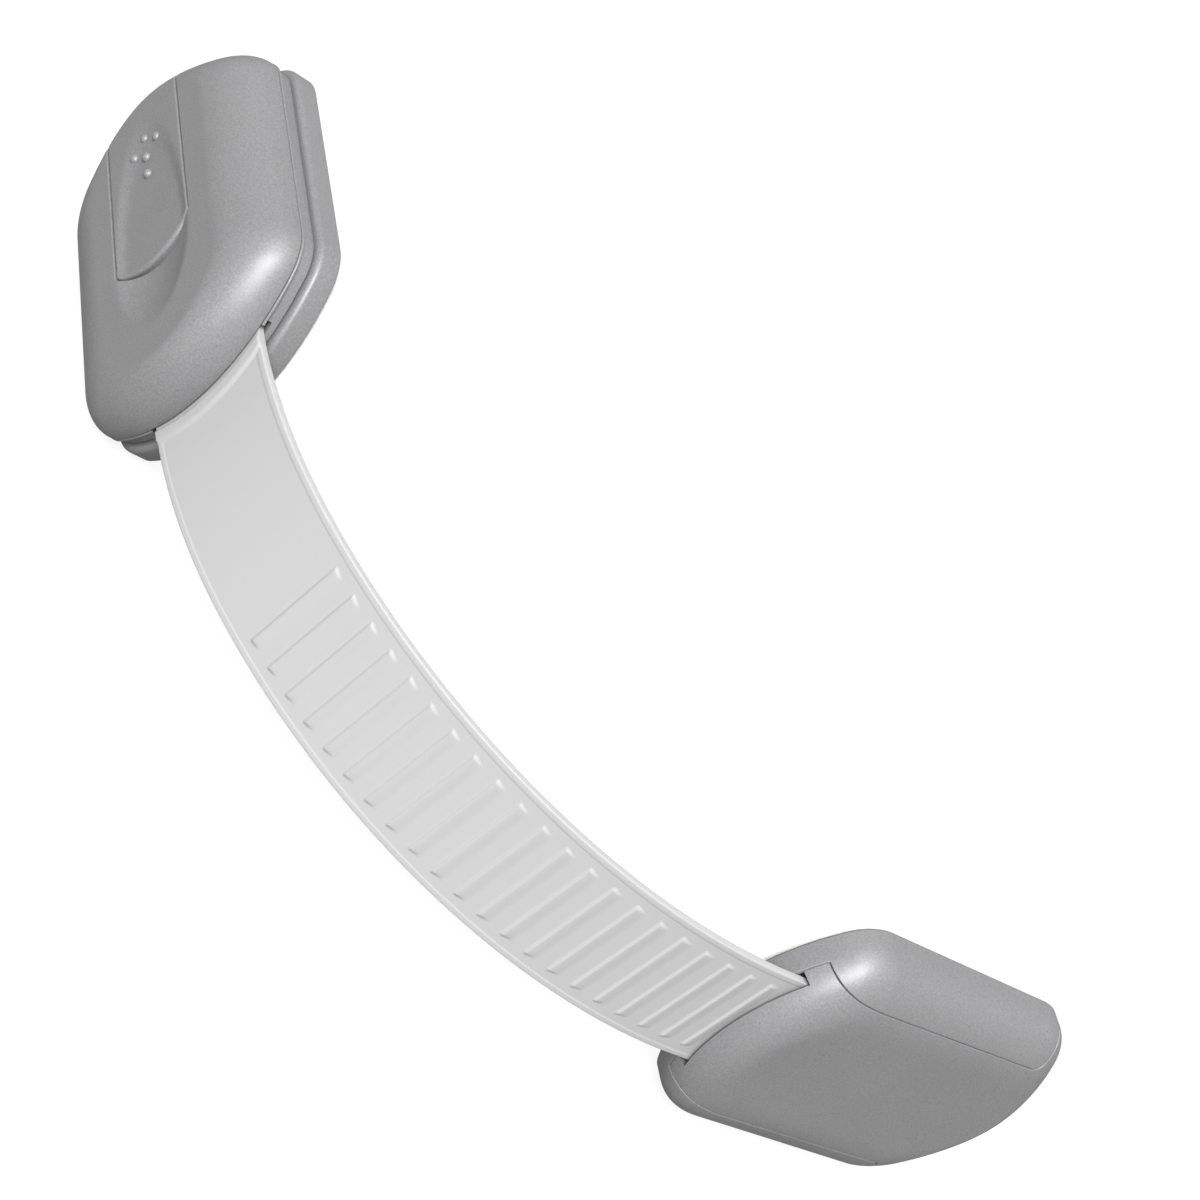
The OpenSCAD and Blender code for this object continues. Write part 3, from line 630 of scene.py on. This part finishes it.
# Its closed profile of (distance in from the outline, height) rows goes round the outline from one side of the
# strap to the other, and each end closes at the profile's middle
def makeSeamBead():
    plan = beadPlan
    inwards, up = plan["foot"]
    profile = [(plan["width"], plan["low"]), (inwards, plan["low"]), (-plan["proud"], plan["low"] + up)]
    profile += [(plan["round"] * (1 - np.cos(t)) - plan["proud"], plan["high"] - plan["round"] * (1 - np.sin(t)))
        for t in np.linspace(0, np.pi / 2, 7)]
    profile += [(plan["width"], plan["high"]), (plan["width"], plan["low"])]
    ring = rowsGrid([wholeOutline(latchPlan, inset) + (height,) for inset, height in profile])
    ring = ring[:, (ring[1, :, 0] < 0) | (np.abs(ring[1, :, 1]) > plan["opening"])]
    ends = np.broadcast_to(ring.mean(0), ring.shape)
    points, triangles = gridPart(np.concatenate([ends[:, :1], ring, ends[:, -1:]], 1))
    return meshPiece("seamBead", latchPlace(points.reshape(-1, 3)), triangles)


# Base plate and its keeper, which the catch hooks under

platePlan = {
    "length": 53.0,
    "width": 40.0,
    "roundings": (0.8, 0.8),
    "sideRounding": 0.8,
    "edge": 0.8,                   # height that the roundings take
    "wallTop": 3.5,
    "top": 4.3,
    "bottom": 1.0,
    "footEdge": 0.25,
    "keeperHalf": 5.0,
    "keeperBevel": 0.15,
    "keeperMiddle": (-3.0, 7.0),   # its bevelled ends draw in towards this point
    "keeper": ((-4.3, 3.6), (-1.9, 3.6), (-1.9, 8.05), (-1.9, 8.2), (-0.4, 8.2), (-0.25, 8.3), (-0.25, 8.7),
        (-0.35, 8.78), (-1.75, 9.86), (-1.95, 9.9), (-4.15, 9.9), (-4.3, 9.75), (-4.3, 3.6)),   # along and up
}


# Plate: rows of the whole outline from the middle of the underside round the edge, a quarter circle below and
# above, to the middle of the top. Keeper: a profile carried across and drawn in at both ends.
def makeBasePlate():
    plan = platePlan
    x, y = wholeOutline(plan)
    rows = [(0 * x, 0 * y, plan["bottom"])]
    rows += [drawnIn(plan, x, y, plan["footEdge"] / plan["edge"] * (1 - np.cos(t)))
        + (plan["bottom"] + plan["footEdge"] * (1 - np.sin(t)),) for t in np.linspace(np.pi / 2, 0, 7)]
    rows += [drawnIn(plan, x, y, 1 - np.cos(t)) + (plan["wallTop"] + plan["edge"] * np.sin(t),)
        for t in np.linspace(0, np.pi / 2, 12)]
    rows += [(0.9 * x, 0.9 * y, plan["top"]), (0 * x, 0 * y, plan["top"])]
    half, bevel = plan["keeperHalf"], plan["keeperBevel"]
    profile, middle = np.array(plan["keeper"]), np.array(plan["keeperMiddle"])
    sections = [(-half, 0), (-half, 1 - bevel / 3), (bevel - half, 1), (half - bevel, 1), (half, 1 - bevel / 3),
        (half, 0)]
    keeper = [np.insert(middle + (profile - middle) * share, 1, across, axis=1) for across, share in sections]
    points, triangles = joined([gridPart(rowsGrid(rows)), gridPart(np.stack(keeper))])
    return meshPiece("latchBase", latchPlace(points), triangles)


# Anchor head: sliding cover with a tongue and a full-width end, and a base whose wings are part of the dome

anchorPlan = {
    "place": (84.0474, 94.0152),   # pad face and middle of the head in the frame, in mm
    "length": 53.0,
    "width": 38.0,
    "roundings": (5.8, 2.4),       # at the strap's end and at the far end
    "sideRounding": 9.6,
    "fullness": 2.3,
    "wallTop": 3.4,
    "tops": (10.4, 8.4),
    "wall": 1.6,
    "joint": (13.6, 18.1, 1.6),    # half width of the tongue, place of the shoulder, radius between them
    "gap": 0.12,
    "seamEdge": 0.14,
    "seamSpread": 0.8,             # breadth of the seam's rounding as a share of its depth
    "coverFoot": 4.85,             # lower edge of the tongue at the strap's end
    "coverRuns": (7.0, 3.2),       # length of the rounded rows at the strap's end and at the far end
    "widenFrom": 0.75,             # share of the tongue from which columns spread into the shoulder
    "slot": (10.6, 6.65),          # half width and top of the slot for the strap
    "slotColumns": (0.012, 0.00005),   # shares of the tongue that columns keep from the slot's corner
}


# Distance from a wing's region, a quarter plane whose corner is rounded: negative inside it
def wingDistance(x, y, gap):
    half, shoulder, radius = anchorPlan["joint"]
    a, b = x - shoulder - gap + radius, half - gap + radius - np.abs(y)
    return np.hypot(np.maximum(a, 0), np.maximum(b, 0)) + np.minimum(np.maximum(a, b), 0) - radius


# Half breadth of the cover at x: the tongue's, widened by the rounded inner corner before the shoulder
def tongueHalf(x, gap):
    half, shoulder, radius = anchorPlan["joint"]
    over = np.clip(x - shoulder - gap + radius, 0, radius)
    return half - gap + radius - np.sqrt(np.maximum(radius ** 2 - over ** 2, 0))


# Cover, inside the tongue's breadth: columns of nearly constant y from the strap's end over the dome, past
# the shoulder and down the far end
def coverMiddle(inset, drop):
    body = anchorPlan
    half, shoulder, radius = body["joint"]
    gap, edge, tongue = body["gap"], body["seamEdge"], half - body["gap"]
    slotHalf, slotTop = body["slot"]
    aside, close = body["slotColumns"]
    share = np.concatenate([(tongue - closeSteps(7) * edge) / tongue, np.linspace(1 - edge / tongue, 0, 44)[1:]])
    corner = slotHalf / tongue
    share = np.concatenate([share[np.abs(share - corner) > aside], corner + np.array([-aside, -close, close, aside])])
    share = np.sort(share)[::-1]
    share = np.concatenate([-share, share[-2::-1]])[None, :]
    widen = np.clip((np.abs(share) - body["widenFrom"]) / (1 - body["widenFrom"]), 0, 1) ** 2 * np.sign(share)
    column = share * tongue
    rounded = domeLevels(body, 34)[:, None]
    # the strap's end: the level where the dome passes the cover's lower edge, then away from it
    foot = np.where(np.abs(column) < slotHalf, slotTop, body["coverFoot"])
    footLevel = levelAt(body, foot - body["wallTop"], body["tops"][0] - drop)
    turnX = shoulder + gap - radius
    first = domeEnd(body, column, footLevel, -1, inset) + body["coverRuns"][0] * rounded
    straight = first[-1:] + (turnX - first[-1:]) * np.linspace(0, 1, 66)[1:, None]
    bend = turnX + radius * np.sin(np.linspace(0, np.pi / 2, 12))[1:, None] + 0 * column
    # the far end, down to the line where it meets the base
    footLevel = levelAt(body, gap, body["tops"][1] - drop)
    last = domeEnd(body, column + widen * radius, footLevel, 1, inset) - body["coverRuns"][1] * rounded[::-1]
    between = shoulder + gap + (last[:1] - shoulder - gap) * np.linspace(0, 1, 14)[1:-1, None]
    x = np.concatenate([first, straight, bend, between, last])
    y = column + widen * (tongueHalf(np.minimum(x, shoulder + gap), gap) - half + gap)
    z = levelHeight(body, x, levelOver(body, x, y, inset), drop)
    return np.stack([x, y, z], -1), len(first) + len(straight) + len(bend) - 1


# Cover, the sides of its full-width end: rows follow the levels that the middle's last column passes, from
# that column round the corner to the shoulder
def coverSide(middle, shoulderRow, inset, drop, sign):
    body = anchorPlan
    edge = middle[shoulderRow:, -1 if sign > 0 else 0]
    level = levelOver(body, edge[:, 0], edge[:, 1], inset)[:, None]
    along, across = drawnOut(body, body["joint"][1] + body["gap"], np.abs(edge[:, 1:2]), level)
    start, end = facingAcross(body, across, inset), facingAlong(body, along, inset)
    steps = 1 - np.concatenate([closeSteps(7) * 0.03, np.linspace(0.03, 1, 18)[1:]])[::-1]
    facing = start + (end - start) * steps
    facing[0] = start[0]
    px, py = outlinePoint(body, facing, inset)
    x, y = drawnIn(body, px, py, level)
    sheet = np.stack([x, y * sign, levelHeight(body, x, level, drop)], -1)
    sheet[:, 0] = edge
    sheet[0] = edge[0]
    return sheet


# Cover's wall between an outer and an inner sheet of three grids each, its edge rounded along the wings. The
# second side is a mirror image, so its columns are turned round and its triangles wind as the others do.
def makeAnchorCover():
    sheets = []
    for inset in (0.0, anchorPlan["wall"]):
        middle, row = coverMiddle(inset, inset)
        sheets.append([middle, coverSide(middle, row, inset, inset, 1),
            coverSide(middle, row, inset, inset, -1)[:, ::-1]])
    outer, triangles = joined([gridPart(sheet) for sheet in sheets[0]])
    inner = np.concatenate([sheet.reshape(-1, 3) for sheet in sheets[1]])
    away = wingDistance(outer[:, 0], outer[:, 1], anchorPlan["gap"]) / anchorPlan["seamSpread"]
    points, triangles = closedWall(outer, inner, triangles, edgeDepth(away, anchorPlan["seamEdge"]))
    return meshPiece("anchorCoverShell", anchorPlace(points), triangles)


basePlan = {
    "foot": (1.62, 1.8, 2.4),      # heights of the rows on the straight wall
    "seamFrom": 4.4,               # height from which the edge along the joint is rounded
    "mouthTop": 4.7,               # top of the wall under the tongue
    "trayInset": 0.02,
    "tray": ((0, 1.0), (0.975, 1.0), (0.985, 1.13), (0.993, 1.29), (0.998, 1.46), (1, 1.65), (1, 3.3),
        (0.997, 3.38), (0.99, 3.4), (0, 3.4)),   # share of the outline, and height
    "ledgeHalf": 13.55,
    "ledge": (24.22, 0.5, 4.68, 0.05),   # inner side from the middle, least depth, top and edge
    "rails": (-7.128, 0.0, 7.128),
    "railEnds": (-24.5, 21.5),
    "railRows": (-0.6, -0.56, -0.45, 0.45, 0.56, 0.6),
    "railTop": 4.8,
    "railEdge": 0.12,
    "low": 3.3,                    # foot of the ledge and the rails, in the tray
}


# Base: one sheet from shoulder to shoulder round the strap's end. Columns follow the outline by t, 0 to 1 on the
# end and corner, 1 to 2 on the side and 2 to 3 on the next corner up to the shoulder. Rows climb from the foot
# to the joint, whose level over each column is found by halving.
def baseSheet(halvings=40):
    body = anchorPlan
    tongue, shoulder, _ = body["joint"]
    half, side, arch, _, reach, _ = outlineSizes(body, 0)
    cornerX = half - arch + reach

    def ringAt(t, level):
        last = facingAlong(body, drawnOut(body, shoulder, 0, level)[0])
        px, py = outlinePoint(body, np.where(t < 1, np.pi / 2 * t, np.pi / 2 - (np.pi / 2 - last) * (t - 2)))
        px = np.where(t < 1, -px, px)
        onSide = (t >= 1) & (t <= 2)
        px, py = np.where(onSide, cornerX * (2 * t - 3), px), np.where(onSide, side, py)
        return drawnIn(body, px, py, level)

    start = float(facingAcross(body, np.array(tongue))) / (np.pi / 2)
    before, after = start - 0.012, start + 0.05   # columns are close where the joint leaves the mouth
    t = np.concatenate([np.linspace(0, before, 26), np.linspace(before, after, 40)[1:],
        np.linspace(after, 1, 34)[1:], np.linspace(1, 2, 56)[1:], 3 - closeSteps(14)[::-1]])[None, :]
    low, high = np.zeros_like(t), np.ones_like(t)
    for _ in range(halvings):
        level = (low + high) / 2
        x, y = ringAt(t, level)
        inMouth = (x < 0) & (levelHeight(body, x, level) < body["coverFoot"] - body["gap"])
        inside = (wingDistance(x, y, 0) < 0) | inMouth
        low, high = np.where(inside, level, low), np.where(inside, high, level)
    share = np.concatenate([np.linspace(0, 0.94, 34), 1 - 0.06 * closeSteps(8)[::-1][1:]])[:, None]
    angle = share * np.arccos((1 - low) ** (body["fullness"] / 2))
    level = 1 - np.cos(angle) ** (2 / body["fullness"])
    x, y = ringAt(t + 0 * level, level)
    foot = np.array(basePlan["foot"])[:, None] + 0 * x[:1]
    z = np.concatenate([foot, levelHeight(body, x, level)])
    x, y = np.concatenate([x[:1].repeat(len(foot), 0), x]), np.concatenate([y[:1].repeat(len(foot), 0), y])
    x, y, z = (np.concatenate([w * v[:, :0:-1], v], 1) for v, w in ((x, 1), (y, -1), (z, 1)))
    return np.stack([x, y, z], -1)


# Plate between two heights over a grid in plan, its upper border rounded
def plateParts(x, y, low, high, edge, away):
    outer = np.stack([x, y, np.full(x.shape, high)], -1)
    inner = np.stack([x, y, np.full(x.shape, low)], -1)
    return closedWall(outer, inner, gridTriangles(*x.shape), edgeDepth(away, edge))


# Wings: the sheet over its own level foot, rounded where it meets the cover. Below them a tray of rows of the
# outline, a ledge under the tongue's end, just inside the outline, and three rails.
def makeAnchorBase():
    body, plan = anchorPlan, basePlan
    outer = baseSheet()
    inner = outer.copy()
    inner[..., 2] = plan["foot"][0]
    x, y, z = outer[..., 0], outer[..., 1], outer[..., 2]
    away = np.where(z < plan["seamFrom"], np.inf, -wingDistance(x, y, 0) / body["seamSpread"])
    away = np.where((np.abs(y) < body["joint"][0]) & (x < 0), plan["mouthTop"] - z, away)
    parts = [closedWall(outer, inner, gridTriangles(*x.shape), edgeDepth(away, body["seamEdge"]))]
    x, y = wholeOutline(body, plan["trayInset"])
    parts.append(gridPart(rowsGrid([(share * x, share * y, height) for share, height in plan["tray"]])))
    innerSide, least, high, edge = plan["ledge"]
    y = np.linspace(-plan["ledgeHalf"], plan["ledgeHalf"], 61)[None, :]
    px, _ = outlinePoint(body, facingAcross(body, np.abs(y)))
    x = body["gap"] - px + np.maximum(px - innerSide, least) * np.array([0, 0.3, 1.0])[:, None]
    parts.append(plateParts(x, y + 0 * x, plan["low"], high, edge, x + px - body["gap"]))
    for across in plan["rails"]:
        x, y = np.meshgrid(np.linspace(*plan["railEnds"], 12), across + np.array(plan["railRows"]), indexing="ij")
        parts.append(plateParts(x, y, plan["low"], plan["railTop"], plan["railEdge"],
            plan["railRows"][-1] - np.abs(y - across)))
    points, triangles = joined(parts)
    return meshPiece("anchorBaseShell", anchorPlace(points), triangles)


# Strap: a band carried along two arcs, its outer side raised by the edges, the ribs and the lip

strapPlan = {
    "bendStart": (21.8, 5.95),     # along and above the latch's sticking face
    "radii": (59.1, 75.4),
    "firstTurn": 28.2,             # degrees turned on the first radius, out of 90
    "halfWidth": 9.9,
    "halfThickness": 0.5,
    "cornerEdge": 0.2,
    "innerEnd": -13.8,             # end inside the latch head, from the start of the bend
    "tail": 40.0,
    "edge": (0.9, 0.06, 0.15),     # width, height and softness of the raised edges
    "ribs": (34.6, 3.75, 31),      # first, pitch and number
    "rib": (7.85, 0.45, 1.35, 0.22),   # half length, steep front, sloping back and height
    "ribEnd": (0.55, 0.25),        # length of its rounded end, and how much shorter its back is
    "lip": (2.3, 0.27),            # reach from the cover's rim and height
}


# Middle line at distance s: straight, then the first circle, the second circle, and straight again
def strapLine(s):
    plan = strapPlan
    r1, r2 = plan["radii"]
    turn1 = np.radians(plan["firstTurn"])
    turn2 = np.pi / 2 - turn1
    onFirst = s < r1 * turn1
    angle = np.where(onFirst, np.clip(s, 0, None) / r1, turn1 + np.clip(s - r1 * turn1, 0, r2 * turn2) / r2)
    centre1 = np.array([plan["bendStart"][0], r1 - plan["bendStart"][1]])
    centre2 = centre1 + (r1 - r2) * np.array([np.sin(turn1), -np.cos(turn1)])
    radius = np.where(onFirst, r1, r2)
    x = np.where(onFirst, centre1[0], centre2[0]) + radius * np.sin(angle) + np.minimum(s, 0)
    tail = np.maximum(s - r1 * turn1 - r2 * turn2, 0)
    y = np.where(onFirst, centre1[1], centre2[1]) - radius * np.cos(angle) + tail
    return x, y, angle


# Smooth step from 0 to 1 as a value passes from low to high
def smoothStep(value, low, high):
    t = np.clip((value - low) / (high - low), 0, 1)
    return t * t * (3 - 2 * t)


# Height that the outer side is raised by: the edges' flat-topped bands, the ribs like a ratchet's teeth with a
# steep front, a sloping back and round ends, and the lip that follows the cover's arched rim
def strapRelief(s, z):
    plan = strapPlan
    side = np.abs(z)
    arch = headPlan["arch"]
    pastRim = s - (latchPlan["length"] / 2 - arch + np.sqrt(arch ** 2 - side ** 2) - plan["bendStart"][0])
    width, height, soft = plan["edge"]
    border = plan["halfWidth"] - width
    edge = height * smoothStep(side, border - soft, border + soft) * smoothStep(pastRim, 0.4, 1.2)
    first, pitch, count = plan["ribs"]
    along = s - first - np.clip(np.round((s - first) / pitch), 0, count - 1) * pitch
    length, front, back, tall = plan["rib"]
    rounded, shorter = plan["ribEnd"]
    ends = 1 - smoothStep(side + shorter * np.clip(along, 0, 1), length - rounded, length)
    rib = tall * smoothStep(along, -front / 2, front / 2) * (1 - smoothStep(along, front / 2, front + back)) * ends
    reach, lipHeight = plan["lip"]
    lip = lipHeight * (1 - smoothStep(pastRim, reach - 0.5, reach + 0.3)) * smoothStep(pastRim, 0.2, 0.6)
    return np.maximum(np.maximum(edge, rib), lip)


# Wall between the raised outer side and the plain inner side, each set off from the middle line square to it.
# Points lie close together at the lip, at the ribs' fronts and ends, and along the raised edges.
def makeStrap():
    plan = strapPlan
    first, pitch, count = plan["ribs"]
    r1, r2 = plan["radii"]
    end = r1 * np.radians(plan["firstTurn"]) + r2 * np.radians(90 - plan["firstTurn"]) + plan["tail"]
    front = 0.07                   # half of a rib's steep front, as a share of the pitch
    cell = np.concatenate([np.linspace(-0.5, -front, 4)[:-1], np.linspace(-front, front, 12),
        np.linspace(front, 0.5, 9)[1:-1]]) * pitch
    ribbed = (first + pitch * np.arange(count)[:, None] + cell[None, :]).reshape(-1)
    s = np.concatenate([np.linspace(plan["innerEnd"], 1.8, 8), np.linspace(2, 7.6, 46),
        np.linspace(8, first - pitch / 2, 30)[:-1], ribbed])
    s = np.concatenate([s[s < end - 0.2], [end - 0.1, end]])[:, None]
    half, corner = plan["halfWidth"], plan["cornerEdge"]
    z = np.concatenate([half - closeSteps(5) * corner,
        half - np.array([0.4, 0.6, 0.7, 0.78, 0.86, 0.94, 1.02, 1.1, 1.3, 1.7]),
        np.linspace(8.0, 7.1, 10), [6.3, 5.0, 3.4, 1.7, 0]])
    z = np.concatenate([z, -z[-2::-1]])[None, :]
    x, y, angle = strapLine(s)
    drop = edgeDepth(half - np.abs(z), corner)
    up = plan["halfThickness"] + strapRelief(s, z) - drop
    low = drop - plan["halfThickness"] + 0 * s
    outer, inner = (np.stack([x + out * np.sin(angle), y - out * np.cos(angle), z + 0 * s], -1) for out in (up, low))
    points, triangles = closedWall(outer, inner, gridTriangles(*up.shape), 0 * up)
    return meshPiece("strapBand", points * millimetre, triangles, crease=1.1)


# Pieces that stand for CAD nodes, and the bead, which is an addition

pieceMakers = (
    (makeLatchCover, "latch_cover", "housing"),
    (makeButton, "release_button", "button"),
    (makeBasePlate, "latch_base_plate", "latch_base"),
    (makeAnchorCover, "anchor_cover", "anchor_cover"),
    (makeAnchorBase, "anchor_base", "anchor"),
    (makeStrap, "strap", "housing"),
    (makeSeamBead, None, "housing"),
)

for make, node, body in pieceMakers:
    piece = make()
    piece.data.materials.append(strapPlastic if node == "strap" else satinPlastic)
    if node:
        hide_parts(node)
    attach(piece, body)
    print(piece.name, "has", len(piece.data.vertices), "points and", len(piece.data.polygons), "faces")

# Floor, lamps and background

studioPlan = {
    "floorSize": 1.5,
    "floorDrop": 0.00005,          # metres under the lowest edge
    "floorColour": (0.16, 0.16, 0.16, 1),
    "floorGlow": 0.86,
    "ambient": 0.3,
    "keyFrom": (0.54, -0.565, 0.62),
    "keyStrength": 4.0,
    "keyAngle": 0.5,
    "topFrom": (0.3, -0.42, 0.85),
    "topStrength": 1.45,
    "topAngle": 0.9,
    "backFrom": (-0.70, 0.70, 0.05),
    "backStrength": 1.2,
    "backAngle": 1.2,
}


# A value that is 1 where a camera, glossy or transmission ray looks, and 0 for the light that falls
def lookingRays(nodes, link):
    path = nodes.new("ShaderNodeLightPath")
    total = path.outputs["Is Camera Ray"]
    for label in ("Is Glossy Ray", "Is Transmission Ray"):
        total = mathNode(nodes, link, "MAXIMUM", total, path.outputs[label])
    return total


# Pale floor just under the lowest edge of the heads; to looking rays it glows a little so that it
# is white and keeps a soft shadow
def addFloor(plan):
    half, level = plan["floorSize"] / 2, cadBox[0][2] - plan["floorDrop"]
    mesh = bpy.data.meshes.new("floor")
    mesh.from_pydata([(-half, -half, level), (half, -half, level), (half, half, level), (-half, half, level)],
        [], [(0, 1, 2, 3)])
    floor = addObject("floor", mesh)
    material, nodes, link, shader = newMaterial("paleFloor")
    nodes.remove(shader)
    matt = nodes.new("ShaderNodeBsdfDiffuse")
    matt.inputs["Color"].default_value = plan["floorColour"]
    glow = nodes.new("ShaderNodeEmission")
    link(lookingRays(nodes, link), glow.inputs["Strength"])
    glow.inputs["Color"].default_value = (plan["floorGlow"],) * 3 + (1,)
    total = nodes.new("ShaderNodeAddShader")
    link(matt.outputs[0], total.inputs[0])
    link(glow.outputs[0], total.inputs[1])
    link(total.outputs[0], nodes["Material Output"].inputs["Surface"])
    mesh.materials.append(material)


# Far soft lamp: a sun with a broad disc, its backward axis and its place in the direction it shines from
def addLamp(name, direction, strength, angle):
    back = np.array(direction) / np.linalg.norm(direction)
    side = np.cross((0.0, 0.0, 1.0), back)
    side /= np.linalg.norm(side)
    data = bpy.data.lights.new(name, "SUN")
    data.energy = strength
    data.angle = angle
    addObject(name, data).matrix_world = axesMatrix(side, np.cross(back, side), back, back)


# Even soft light from all round, white to looking rays
def setWorld(plan):
    world = bpy.data.worlds.new("studio")
    scene.world = world
    world.use_nodes = True
    nodes, link = world.node_tree.nodes, world.node_tree.links.new
    ground = nodes["Background"]
    ground.inputs["Color"].default_value = (1, 1, 1, 1)
    blend = nodes.new("ShaderNodeMapRange")
    blend.inputs["To Min"].default_value = plan["ambient"]
    blend.inputs["To Max"].default_value = 1.0
    link(lookingRays(nodes, link), blend.inputs["Value"])
    link(blend.outputs[0], ground.inputs["Strength"])


addFloor(studioPlan)
for side in ("key", "top", "back"):
    addLamp(side + "Lamp", *(studioPlan[side + what] for what in ("From", "Strength", "Angle")))
setWorld(studioPlan)
scene.view_settings.view_transform = "Standard"
print("studio set")
